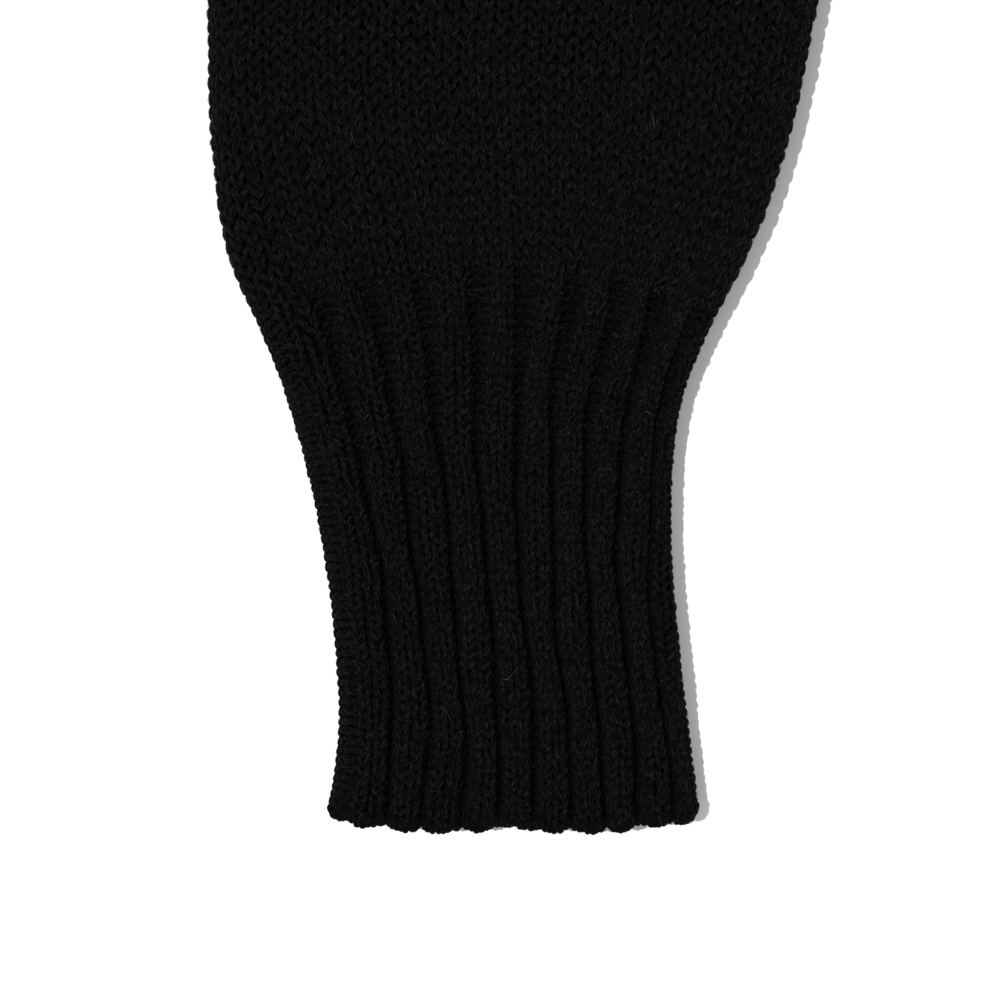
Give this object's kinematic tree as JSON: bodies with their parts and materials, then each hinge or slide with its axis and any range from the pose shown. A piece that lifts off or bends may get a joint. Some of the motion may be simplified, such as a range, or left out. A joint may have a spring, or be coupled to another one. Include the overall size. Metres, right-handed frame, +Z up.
{
  "type": "convertible flip-top mitten",
  "caption": "Knitted mitten with a long ribbed cuff, half fingers under a flip-back fingertip flap, and a full thumb that swings at its root.",
  "frame": {"origin": "on the flat underside, in the middle of the wrist, where the cuff is narrowest", "axes": "+Y from the cuff to the fingertips, +X to the thumb's side, +Z up off the back of the hand"},
  "size_m": [0.1416, 0.3053, 0.0156],
  "materials": {
    "rib": "matte two-by-two rib knit",
    "knit": "matte stocking-stitch knit",
    "thread": "matte twisted yarn",
    "pocket": "plain woven patch",
    "magnet": "nickel plate"
  },
  "bodies": {
    "hand": {"cuff_welt": "rib", "cuff_rib": "rib", "hand_shell": "knit", "thumb_gusset": "knit", "little_sleeve": "knit", "ring_sleeve": "knit", "middle_sleeve": "knit", "index_sleeve": "knit", "little_edge": "rib", "ring_edge": "rib", "middle_edge": "rib", "index_edge": "rib", "little_ring_join": "thread", "ring_middle_join": "thread", "middle_index_join": "thread", "flap_seam": "thread", "flap_tack_little_side": "thread", "flap_tack_index_side": "thread", "hand_magnet": "magnet", "hand_magnet_pocket": "pocket"},
    "thumb": {"thumb_tube": "knit", "thumb_tip_graft": "thread"},
    "flap": {"flap_back_band": "rib", "flap_back_panel": "knit", "flap_lip_band": "rib", "flap_palm_panel": "knit", "flap_tip_graft": "thread", "flap_magnet": "magnet", "flap_magnet_pocket": "pocket"}
  },
  "joints": [
    {"name": "flap_flip", "type": "hinge", "parent": "hand", "child": "flap", "pos_m": [-0.0076, 0.1475, 0.0159], "axis": [1, 0, 0], "range_deg": [0, 180], "deforming": ["flap_palm_panel", "flap_lip_band"]},
    {"name": "thumb_swing", "type": "hinge", "parent": "hand", "child": "thumb", "pos_m": [0.057, 0.138, 0.0078], "axis": [0, 0, 1], "range_deg": [-20, 8]}
  ]
}
